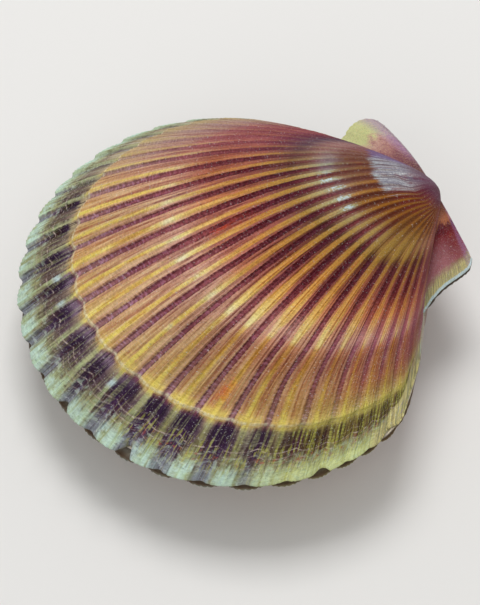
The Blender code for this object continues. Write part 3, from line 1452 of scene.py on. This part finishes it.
    def regions(self, board: Board, here: Place, colour: Wire) -> Wire:
        """Large differences between the parts of the main field.

        Args:
            board: where the nodes go.
            here: the coordinates.
            colour: what lies under it.

        Returns:
            The colour.
        """
        age, fan = here.age, here.fan
        ragged_age = age + 0.03 * (here.streak - 0.5) + 0.012 * (here.grain - 0.5)
        left_stops = (
            (0.33, "mauve"),
            (0.38, "heather"),
            (0.45, "violet"),
            (0.54, "rose"),
            (0.655, "rose"),
            (0.685, "mauve"),
            (0.78, "haze"),
            (0.86, "khaki"),
        )
        left = self.ramp(board, ragged_age, *left_stops)
        left = self.over(left, here.fibre.rise(0.5, 0.6) * 0.4, "garnet")
        colour = board.blend(board.remap(fan, 3.5, -2.0, 0.0, 0.76), colour, left, Mix.RGBA)
        colour = self.over(colour, fan.fall(-0.5, 2.5) * age.bump(0.43, 0.08) * 0.3, "plum")
        red = ragged_age.bump(0.60, 0.10) * fan.fall(1.0, 3.8) * here.from_crest.rise(0.1, 0.3)
        colour = self.over(colour, red * 0.2, "ruby")
        colour = self.filtered(colour, fan.fall(-0.5, 2.5) * age.bump(0.59, 0.13), "ember")
        colour = self.filtered(colour, fan.bump(2.2, 2.4) * age.bump(0.58, 0.12), "madder")
        warm_stops = (
            (0.30, "bronze"),
            (0.40, "bark"),
            (0.50, "garnet"),
            (0.57, "rust"),
            (0.645, "rose"),
            (0.68, "claret"),
            (0.78, "rust"),
            (0.86, "leaf"),
        )
        warm = self.ramp(board, ragged_age, *warm_stops)
        warm = self.over(warm, here.thread.rise(0.5, 0.6) * age.rise(0.5, 0.6) * 0.5, "tawny")
        lilac_share = here.from_furrow.fall(0.1, 0.4) * age.bump(0.68, 0.16) * here.mood.rise(0.3, 0.5)
        warm = self.over(warm, lilac_share * 0.6, "orchid")
        colour = board.blend(board.remap(fan, 12.0, 16.5, 0.0, 0.5), colour, warm, Mix.RGBA)
        band = ragged_age.rise(0.66, 0.675) * ragged_age.fall(0.69, 0.78) * fan.rise(9.0, 12.5)
        colour = self.over(colour, band * here.from_furrow.rise(0.1, 0.25) * 0.35, "rust")
        bleached = ragged_age.rise(0.58, 0.64) * ragged_age.fall(0.65, 0.665)
        bleached = bleached * (fan.bump(11.7, 0.9) + 0.6 * fan.bump(15.2, 1.0))
        colour = self.over(colour, bleached * here.mood.rise(0.36, 0.5) * 0.6, "blossom")
        straws = fan.bump(14.2, 2.4).rise(0.0, 0.6) * ragged_age.fall(0.35, 0.41)
        straws = straws * here.thread.rise(0.30, 0.56)
        colour = self.over(colour, straws * 0.8, "ochre")
        soft = fan.rise(15.4, 17.0) * ragged_age.fall(0.31, 0.38)
        colour = self.over(colour, soft * (0.4 + 0.3 * here.grain), "rosy")
        late = fan.rise(8.5, 10.0) * ragged_age.rise(0.67, 0.70) * age.fall(0.82, 0.86)
        colour = self.filtered(colour, late, "sunset")
        fiery = age.bump(0.815, 0.07) * fan.bump(11.45, 0.35) + age.bump(0.55, 0.09) * fan.bump(6.35, 0.4)
        return self.over(colour, fiery * here.mood.rise(0.40, 0.55) * 0.6, "flame")

    def outer_band(self, board: Board, here: Place) -> Wire:
        """Dark blocks between pale crest lines, then the mint-coloured margin.

        Args:
            board: where the nodes go.
            here: the coordinates.

        Returns:
            The colour.
        """
        age, fan = here.age, here.fan
        block_stops = (
            (0.868, "mulberry"),
            (0.884, "aubergine"),
            (0.902, "aubergine"),
            (0.918, "night"),
            (0.940, "aubergine"),
            (0.960, "heather"),
            (0.982, "slate"),
        )
        middle_stops = (
            (0.868, "honey"),
            (0.884, "dun"),
            (0.904, "taupe"),
            (0.935, "taupe"),
            (0.960, "lichen"),
            (0.984, "sage"),
        )
        crest_stops = (
            (0.868, "lemon"),
            (0.886, "moss"),
            (0.910, "moss"),
            (0.926, "sage"),
            (0.942, "lichen"),
            (0.962, "sage"),
            (0.984, "mint"),
        )
        block = self.ramp(board, age, *block_stops)
        block = self.over(block, age.bump(0.924, 0.040) * fan.fall(3.3, 4.1) * 0.95, "cellar")
        block = self.over(block, age.bump(0.900, 0.02) * fan.rise(8.3, 9.3) * 0.8, "night")
        block = self.over(block, age.bump(0.935, 0.04) * fan.rise(8.3, 9.3) * 0.6, "amethyst")
        dusky = age.bump(0.884, 0.02) * fan.rise(3.4, 4.4) * fan.fall(8.2, 9.4)
        block = self.over(block, dusky * 0.8, "dusk")
        block = self.over(block, age.fall(0.884, 0.896) * fan.fall(3.3, 4.1) * 0.8, "khaki")
        block = self.over(block, here.fibre.rise(0.50, 0.58) * 0.5, "night")
        block = self.over(block, here.speckle.rise(0.48, 0.60) * age.rise(0.93, 0.96) * 0.5, "wisteria")
        middle = self.ramp(board, age, *middle_stops)
        middle = self.over(middle, fan.rise(5.0, 6.5) * age.bump(0.915, 0.035) * 0.45, "amethyst")
        crest = self.ramp(board, age, *crest_stops)
        reach = board.remap(age, 0.885, 0.975, 0.25, 0.15) + 0.22 * (here.streak - 0.5)
        reach = reach + 0.06 * (here.bead - 0.5) + 0.14 * fan.bump(10.5, 3.0)
        share = board.remap(here.from_furrow, reach - 0.10, reach + 0.12, 0.0, 1.0)
        colour = board.blend(share, block, middle, Mix.RGBA)
        dark_lines = here.fibre.rise(0.48, 0.56) * (0.3 + 0.7 * here.bead) * age.fall(0.965, 1.0)
        colour = self.over(colour, dark_lines * 0.65, "shadow")
        pale_lines = here.thread.rise(0.53, 0.60) * (0.3 + 0.7 * here.grain)
        colour = self.over(colour, pale_lines * 0.4, "moss")
        crest = self.over(crest, fan.rise(9.0, 10.5) * age.bump(0.92, 0.06) * 0.8, "olive")
        wide = 0.03 * fan.rise(8.5, 10.0)
        stripe = board.remap(here.from_crest, 0.02 + wide, 0.10 + wide, 1.0, 0.0)
        stripe = stripe * (0.65 + 0.35 * here.thread.rise(0.38, 0.5))
        colour = board.blend(stripe, colour, crest, Mix.RGBA)
        spotted = fan.bump(5.1, 1.1).rise(0.2, 0.6) + fan.bump(8.6, 0.5).rise(0.1, 0.5)
        spots = age.bump(0.905, 0.016) * spotted
        colour = self.over(colour, spots * here.from_crest.fall(0.04, 0.12) * 0.8, "frost")
        colour = self.band_ends(board, here, colour)
        colour = self.over(colour, self.growth_lines(board, here) * 0.7 * fan.rise(-1.0, 2.0), "chalk")
        # Painted highlight: teal-white on the raised lobes of the margin, away from the furrows.
        lobes = age.rise(0.955, 0.98) * here.mood.rise(0.42, 0.54) * here.from_furrow.rise(0.08, 0.25)
        lobes = lobes * here.stripe.rise(0.34, 0.54) * (0.7 - 0.6 * fan.rise(12.0, 14.5))
        colour = self.over(colour, lobes, "teal")
        colour = self.over(colour, here.speckle.rise(0.52, 0.62) * age.rise(0.93, 0.95) * 0.35, "mint")
        dots = age.rise(0.90, 0.925) * age.fall(0.97, 0.99)
        leaf_dots = here.dash.rise(0.55, 0.63) * dots * (0.1 + 0.35 * fan.rise(8.5, 10.0))
        colour = self.over(colour, leaf_dots, "leaf")
        colour = self.over(colour, here.dash.fall(0.36, 0.44) * dots * 0.45, "earth")
        embers = here.speckle.fall(0.36, 0.42) * fan.rise(8.5, 10.5) * age.bump(0.95, 0.03)
        colour = self.over(colour, embers * here.dash.rise(0.4, 0.5) * 0.6, "coral")
        gaps = age.rise(0.93, 0.96) * here.stripe.fall(0.36, 0.44) * here.grain
        return self.over(colour, gaps * 0.4, "cocoa")

    def growth_lines(self, board: Board, here: Place) -> Wire:
        """Thin, broken, wavy lines across the outer band.

        Args:
            board: where the nodes go.
            here: the coordinates.

        Returns:
            How strongly the lines show.
        """
        relief = self.attribute(board, "relief") * (0.0025 + 0.003 * here.fan.rise(8.5, 10.5))
        wander = board.noise(board.vector(here.fan * 0.6, here.age * 8.0, 12.0), 2.0, 0.6)
        place = here.age - relief + 0.012 * (wander - 0.5) + 0.003 * (here.stripe - 0.5)
        lines = place.bump(0.926, 0.0024)
        for at, strength in ((0.912, 0.35), (0.940, 0.65), (0.952, 0.55), (0.965, 0.4)):
            lines = lines + strength * place.bump(at, 0.0020)
        return lines * (0.15 + 0.85 * here.streak.rise(0.40, 0.54)) * (0.5 + 0.5 * here.bead)

    def band_ends(self, board: Board, here: Place, colour: Wire) -> Wire:
        """The outer band on the left, grey and mint, and on the right, olive with yellow lines.

        Args:
            board: where the nodes go.
            here: the coordinates.
            colour: what lies under it.

        Returns:
            The colour.
        """
        age, fan = here.age, here.fan
        left_stops = (
            (0.866, "khaki"),
            (0.902, "khaki"),
            (0.920, "dun"),
            (0.942, "moss"),
            (0.965, "sage"),
            (0.990, "mint"),
        )
        left = self.ramp(board, age, *left_stops)
        left = self.over(left, here.from_furrow.fall(0.06, 0.26) * age.fall(0.955, 0.995) * 0.6, "heather")
        left = self.over(left, here.from_crest.fall(0.02, 0.2) * 0.6, "sage")
        left = self.over(left, here.thread.rise(0.5, 0.62) * 0.3, "pearl")
        colour = board.blend(board.remap(fan, 1.6, -0.6, 0.0, 0.85), colour, left, Mix.RGBA)
        right_stops = (
            (0.866, "leaf"),
            (0.882, "drab"),
            (0.902, "loam"),
            (0.928, "loam"),
            (0.950, "lichen"),
            (0.985, "lime"),
        )
        right = self.ramp(board, age, *right_stops)
        dark_lines = here.stripe.rise(0.44, 0.52) * age.rise(0.868, 0.89) * age.fall(0.935, 0.965)
        dark_lines = dark_lines * (0.6 + 0.4 * here.bead)
        right = self.over(right, dark_lines * 0.9, "ebony")
        furrow_block = here.from_furrow.fall(0.08, 0.22) * age.bump(0.915, 0.05) * fan.fall(14.8, 15.8)
        right = self.over(right, furrow_block, "plum")
        right = self.over(right, here.thread.rise(0.48, 0.62) * (0.4 + 0.6 * here.grain) * 0.7, "leaf")
        red_lines = here.streak.rise(0.54, 0.60) * age.bump(0.95, 0.03) * here.bead
        right = self.over(right, red_lines * 0.6, "coral")
        return board.blend(board.remap(fan, 12.8, 14.6, 0.0, 0.95), colour, right, Mix.RGBA)

    def umbo(self, board: Board, here: Place, field: Wire) -> Wire:
        """The old shell about the beak: brown, then a worn whitish patch, then plum.

        Args:
            board: where the nodes go.
            here: the coordinates.
            field: the colour of the main field.

        Returns:
            The colour.
        """
        age, fan = here.age, here.fan
        young = age + 0.03 * (here.cloud - 0.5) + 0.05 * (here.streak - 0.5)
        ragged = age + 0.03 * (here.cloud - 0.5) + 0.02 * (here.bead - 0.5)
        across = fan * 0.04 + 0.25
        brown_stops = ((0.10, "mulberry"), (0.32, "walnut"), (0.52, "walnut"), (0.80, "umber"))
        brown = self.ramp(board, across, *brown_stops)
        brown = self.over(brown, here.mood.fall(0.36, 0.46) * 0.6, "ruby")
        brown = self.over(brown, here.mood.rise(0.52, 0.62) * fan.fall(5.0, 7.0) * 0.5, "bronze")
        plain = 1.0 - 0.5 * fan.rise(9.0, 12.0)
        tops = here.from_crest.fall(0.05, 0.28) * fan.rise(5.0, 8.0) * plain
        brown = self.over(brown, tops * 0.75, "tawny")
        grooves = here.from_furrow.fall(0.08, 0.26) * fan.rise(5.0, 8.0) * plain
        brown = self.over(brown, grooves * 0.75, "bark")
        brown = self.over(brown, here.fibre.rise(0.48, 0.58) * fan.rise(6.0, 8.0) * 0.45, "bark")
        brown = board.blend(0.25 + 0.2 * here.bead - 0.15 * fan.rise(8.0, 10.0), brown, field, Mix.RGBA)
        brown = self.filtered(brown, fan.rise(7.0, 9.0), "treacle")
        vague = 0.05 * fan.rise(8.5, 11.0)
        colour = board.blend(young.fall(0.275 - vague, 0.295 + vague), field, brown, Mix.RGBA)
        # Painted glints: frost-white flecks on the rib crests just below the worn patch.
        pale = ragged.bump(0.305, 0.024) * here.speckle.rise(0.40, 0.56) * fan.bump(7.0, 3.0).rise(0.0, 0.4)
        colour = self.over(colour, pale * here.from_crest.fall(0.05, 0.3), "frost")
        veil = age.bump(0.3, 0.05) * here.cloud.rise(0.4, 0.6) * fan.bump(4.0, 4.5)
        colour = self.over(colour, veil * 0.45, "ash")
        worn = self.ramp(board, across, (0.05, "iris"), (0.30, "dove"), (0.50, "ash"))
        worn = self.over(worn, here.fibre.rise(0.46, 0.56) * 0.75, "heather")
        worn = self.over(worn, here.thread.rise(0.48, 0.56) * (0.3 + 0.7 * here.grain) * 0.9, "pearl")
        worn = self.over(worn, here.mood.fall(0.34, 0.48) * 0.6, "claret")
        worn = self.over(worn, here.from_furrow.fall(0.05, 0.25) * age.rise(0.1, 0.2) * 0.5, "cocoa")
        flakes = young.rise(0.18, 0.20) * here.bead * here.thread.rise(0.45, 0.55)
        worn = self.over(worn, flakes * 0.6, "frost")
        russet = self.over(brown, here.from_furrow.fall(0.1, 0.3) * 0.4, "brick")
        border = here.rib + 5.0 * (here.streak - 0.5) - 0.8 * here.from_crest.fall(0.0, 0.3)
        patch = board.blend(border.fall(6.9, 7.9), russet, worn, Mix.RGBA)
        colour = board.blend(young.fall(0.195, 0.212), colour, patch, Mix.RGBA)
        shoulder = young + 0.014 * fan.at_most(1.0)
        colour = self.over(colour, shoulder.fall(0.215, 0.235) * fan.fall(0.5, 2.5) * 0.75, "iris")
        colour = self.over(colour, shoulder.fall(0.12, 0.20) * fan.fall(-1.5, 1.5) * 0.75, "violet")
        colour = self.over(colour, young.fall(0.11, 0.17) * fan.rise(7.0, 10.0) * 0.6, "ruby")
        return self.over(colour, young.fall(0.08, 0.15) * 0.85, "dregs")

    def ears(self, board: Board, here: Place, colour: Wire) -> Wire:
        """The two ears: the left lilac and lime, the right red and orange with a pale edge.

        Args:
            board: where the nodes go.
            here: the coordinates.
            colour: what lies under it.

        Returns:
            The colour.
        """
        age, fan = here.age, here.fan
        blotch = board.noise(board.vector(fan * 0.7, age * 13.0, 21.0), 4.0, 0.7)
        mottle = age + 0.30 * (blotch - 0.5) + 0.03 * (here.grain - 0.5)
        left_stops = (
            (0.20, "plum"),
            (0.46, "violet"),
            (0.58, "petal"),
            (0.72, "bisque"),
            (0.81, "lime"),
            (0.95, "lime"),
        )
        left = self.ramp(board, mottle, *left_stops)
        left = self.over(left, fan.fall(-14.6, -11.6) * mottle.rise(0.3, 0.6) * 0.7, "lilac")
        left = self.over(left, blotch.fall(0.36, 0.48) * age.fall(0.7, 0.85) * 0.4, "violet")
        left = self.over(left, here.speckle.rise(0.48, 0.60) * 0.45, "sand")
        left = self.over(left, here.speckle.fall(0.38, 0.46) * 0.35, "mauve")
        left = self.over(left, fan.rise(-8.0, -5.5) * age.fall(0.6, 0.8) * 0.4, "violet")
        left = self.over(left, fan.fall(-15.4, -14.8) * 0.6, "violet")
        left = self.over(left, fan.fall(-15.4, -14.9) * here.speckle.rise(0.46, 0.56) * 0.7, "pearl")
        right_stops = (
            (0.12, "bark"),
            (0.26, "chestnut"),
            (0.37, "apricot"),
            (0.45, "oxblood"),
            (0.56, "brick"),
            (0.70, "rosewood"),
            (0.86, "petal"),
            (0.96, "drab"),
        )
        right = self.ramp(board, mottle, *right_stops)
        right = self.over(right, fan.rise(21.5, 25.0) * age.rise(0.5, 0.7) * 0.5, "brick")
        right = self.over(right, fan.fall(20.5, 24.0) * age.bump(0.74, 0.24) * 0.6, "petal")
        right = self.over(right, blotch.rise(0.52, 0.62) * 0.35, "claret")
        rusty = blotch.fall(0.38, 0.44) * fan.rise(22.0, 24.0) * age.fall(0.8, 0.9)
        right = self.over(right, rusty * 0.3, "rust")
        strip = age + 0.10 * (blotch - 0.5) + 0.06 * (here.thread - 0.5)
        right = self.over(right, strip.rise(0.83, 0.95) * 0.7, "moss")
        teeth = here.thread.rise(0.44, 0.54) * strip.rise(0.88, 0.94)
        right = self.over(right, teeth * 0.6, "straw")
        right = self.over(right, here.fibre.rise(0.54, 0.62) * strip.rise(0.87, 0.92) * 0.55, "clay")
        right = self.over(right, here.speckle.rise(0.62, 0.70) * 0.45, "lilac")
        right = self.over(right, here.dash.rise(0.64, 0.72) * 0.35, "pearl")
        right = self.over(right, fan.rise(25.5, 26.8) * here.bead.rise(0.4, 0.7) * 0.6, "lilac")
        rim = age.rise(0.982, 0.992) * fan.rise(17.6, 18.4)
        rim = rim * self.attribute(board, "pitch").fall(1.75, 2.1)
        rim = rim * (0.3 + 0.7 * here.dash.rise(0.36, 0.54))
        right = self.over(right, rim, "frost")
        colour = board.blend(board.remap(fan, -5.2, -5.7, 0.0, 1.0), colour, left, Mix.RGBA)
        shore = fan + 1.6 * age.rise(0.88, 0.98)
        colour = board.blend(board.remap(shore, 18.4, 18.8, 0.0, 1.0), colour, right, Mix.RGBA)
        colour = self.over(colour, fan.bump(-5.5, 0.5) * 0.6, "plum")
        return self.over(colour, fan.bump(18.3, 1.6) * age.fall(0.75, 0.92) * 0.6, "rosewood")


@dataclass(frozen=True)
class LowerFinish(UpperFinish):
    """The same bands on the lower valve, under a chalky wash, with an earth-brown margin that is painted
    shade in the gap between the valves.
    """

    name: str = "lower_shell_finish"
    crest_middle: float = 0.5
    crest_lean: float = 0.0
    crest_wander: float = 0.0

    def layers(self, board: Board) -> tuple[Wire, Wire, Wire]:
        """Colour, roughness and height of the finish.

        Args:
            board: where the nodes go.

        Returns:
            The three of them.
        """
        colour, rough, height = super().layers(board)
        age = self.attribute(board, "growth")
        colour = self.over(colour, 0.5 * age.fall(0.9, 0.97) + 0.1, "chalk")
        # Painted shade: the lower valve's margin and edge wall, in the gap under the upper valve, darkened
        # earth-brown.
        margin = age.rise(0.965, 0.99) * (0.5 + 0.4 * self.attribute(board, "wall"))
        return self.over(colour, margin, "earth"), rough, height


# The shell and its studio.


@dataclass(frozen=True)
class RestPose:
    """How the shell lies on its lower valve, as in the CAD model."""

    beak: tuple[float, float, float] = (-1.62, 35.18, 13.91)
    pitch: float = 3.4
    roll: float = -0.6
    hinge_gap: float = 0.3
    gape: float = 0.3

    def matrix(self) -> Matrix:
        """From the shell's frame to the object's frame, in metres.

        Returns:
            The transform.
        """
        roll = Matrix.Rotation(math.radians(self.roll), 4, "Y")
        turn = roll @ Matrix.Rotation(math.radians(self.pitch), 4, "X")
        return Matrix.Translation(Vector(self.beak) * MM) @ turn

    def valve_matrix(self, side: float) -> Matrix:
        """From one valve's frame to the object's frame, in metres."""
        lift = Matrix.Translation((0.0, 0.0, side * self.hinge_gap / 2.0 * MM))
        return self.matrix() @ lift @ Matrix.Rotation(-side * math.radians(self.gape / 2.0), 4, "X")


@dataclass
class Shell:
    """Both valves."""

    pose: RestPose = RestPose()
    outlines: OutlineMaker = OutlineMaker()
    sheets: SheetMaker = SheetMaker()
    relief: Relief = Relief()
    law: GrowthLaw = field(default_factory=GrowthLaw)

    def valve(self, form: ValveForm, finish: bpy.types.Material) -> bpy.types.Object:
        """Grow one valve and put it in the CAD node's place.

        Args:
            form: which valve it is.
            finish: its material.

        Returns:
            The finished piece.
        """
        sheet = self.sheets.make(form.name + "_sheet", self.outlines.make(form), form.side < 0.0)
        mesh = self.law.grow(form.name + "_shell", sheet, form, self.relief, finish)
        mesh.transform(self.pose.valve_matrix(form.side))
        piece = bpy.data.objects.new(form.name + "_shell", mesh)
        bpy.context.scene.collection.objects.link(piece)
        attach(piece, "root")
        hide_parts(form.name)
        triangles = sum(len(face.vertices) - 2 for face in mesh.polygons)
        LOG.info("%s: %d triangles", piece.name, triangles)
        return piece

    def build(self) -> list[bpy.types.Object]:
        """Both valves, the upper one first.

        Returns:
            The two pieces.
        """
        upper = ValveForm(
            name="upper_valve",
            side=1.0,
            coil=0.46,
            belly=0.20,
            rib_shift=0.0,
            left_ear=LEFT_EAR,
            chips=UPPER_CHIPS,
            lean=CREST_LEAN,
            rib_height=0.14,
            thickness=0.8,
            inset=0.0,
        )
        lower = ValveForm(
            name="lower_valve",
            side=-1.0,
            coil=0.40,
            belly=0.14,
            rib_shift=0.5,
            left_ear=NOTCHED_EAR,
            chips=(),
            lean=0.0,
            rib_height=0.14,
            thickness=0.54,
            inset=0.007,
        )
        return [
            self.valve(upper, UpperFinish().make()),
            self.valve(lower, LowerFinish().make()),
        ]


@dataclass(frozen=True)
class Lamp:
    """A soft square light: where it hangs and how wide it is in metres, and its power in watts."""

    name: str
    place: tuple[float, float, float]
    size: float
    power: float


@dataclass(frozen=True)
class Studio:
    """Floor, lights and camera, whose place and directions are given in the shell's frame."""

    pose: RestPose = RestPose()
    camera_at: tuple[float, float, float] = (232.6, -119.0, 314.85)
    camera_right: tuple[float, float, float] = (0.42776, 0.90062, -0.07689)
    camera_down: tuple[float, float, float] = (0.69727, -0.38291, -0.60596)
    camera_ahead: tuple[float, float, float] = (-0.57518, 0.20559, -0.79177)
    focal_pixels: float = 2515.0
    image_width: float = 480.0
    sensor_width: float = 36.0
    clip: tuple[float, float] = (0.01, 20.0)
    floor_reach: float = 6.0
    floor_colour: tuple[float, float, float, float] = (0.80, 0.79, 0.77, 1.0)
    floor_roughness: float = 0.9
    lamps: tuple[Lamp, ...] = (
        Lamp("key", (-0.35, 0.15, 0.75), 0.45, 4.0),
        Lamp("fill", (0.6, -0.6, 0.5), 0.8, 2.2),
    )
    backdrop_strength: float = 0.45

    def camera(self) -> None:
        """The camera at the photograph's viewing angle, placed from the shell's own frame."""
        data = bpy.data.cameras.new("camera")
        data.sensor_fit = "HORIZONTAL"
        data.sensor_width = self.sensor_width
        data.lens = self.focal_pixels * self.sensor_width / self.image_width
        data.clip_start, data.clip_end = self.clip
        camera = bpy.data.objects.new("camera", data)
        bpy.context.scene.collection.objects.link(camera)
        right, down, ahead = (Vector(v) for v in (self.camera_right, self.camera_down, self.camera_ahead))
        turn = Matrix((right, -down, -ahead)).transposed().to_4x4()
        place = self.pose.matrix() @ Matrix.Translation(Vector(self.camera_at) * MM) @ turn
        location, rotation, _ = place.decompose()
        camera.matrix_world = Matrix.LocRotScale(location, rotation, None)
        bpy.context.scene.camera = camera

    def floor(self) -> None:
        """A plain pale floor."""
        mesh = bpy.data.meshes.new("floor")
        reach = self.floor_reach
        corners = [(-reach, -reach, 0.0), (reach, -reach, 0.0), (reach, reach, 0.0), (-reach, reach, 0.0)]
        mesh.from_pydata(corners, [], [(0, 1, 2, 3)])
        floor = bpy.data.objects.new("floor", mesh)
        material = bpy.data.materials.new("floor")
        material.use_nodes = True
        shader = material.node_tree.nodes["Principled BSDF"]
        shader.inputs["Base Color"].default_value = self.floor_colour
        shader.inputs["Roughness"].default_value = self.floor_roughness
        mesh.materials.append(material)
        bpy.context.scene.collection.objects.link(floor)

    def light(self, lamp: Lamp) -> None:
        """Hang one lamp, aimed at the shell.

        Args:
            lamp: the lamp.
        """
        data = bpy.data.lights.new(lamp.name, "AREA")
        data.size, data.energy = lamp.size, lamp.power
        hung = bpy.data.objects.new(lamp.name, data)
        hung.location = lamp.place
        hung.rotation_euler = (-Vector(lamp.place)).to_track_quat("-Z", "Y").to_euler()
        bpy.context.scene.collection.objects.link(hung)

    def build(self) -> None:
        """Set up the whole studio."""
        self.floor()
        self.camera()
        for lamp in self.lamps:
            self.light(lamp)
        world = bpy.data.worlds.new("studio")
        world.use_nodes = True
        backdrop = world.node_tree.nodes["Background"]
        backdrop.inputs["Color"].default_value = (1.0, 1.0, 1.0, 1.0)
        backdrop.inputs["Strength"].default_value = self.backdrop_strength
        bpy.context.scene.world = world
        bpy.context.scene.view_settings.view_transform = "Standard"


def main() -> None:
    """Build the shell and the studio, and note the sizes."""
    logging.basicConfig(level=logging.INFO, format="%(name)s: %(message)s")
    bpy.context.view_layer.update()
    Shell().build()
    Studio().build()


if __name__ == "__main__":
    main()
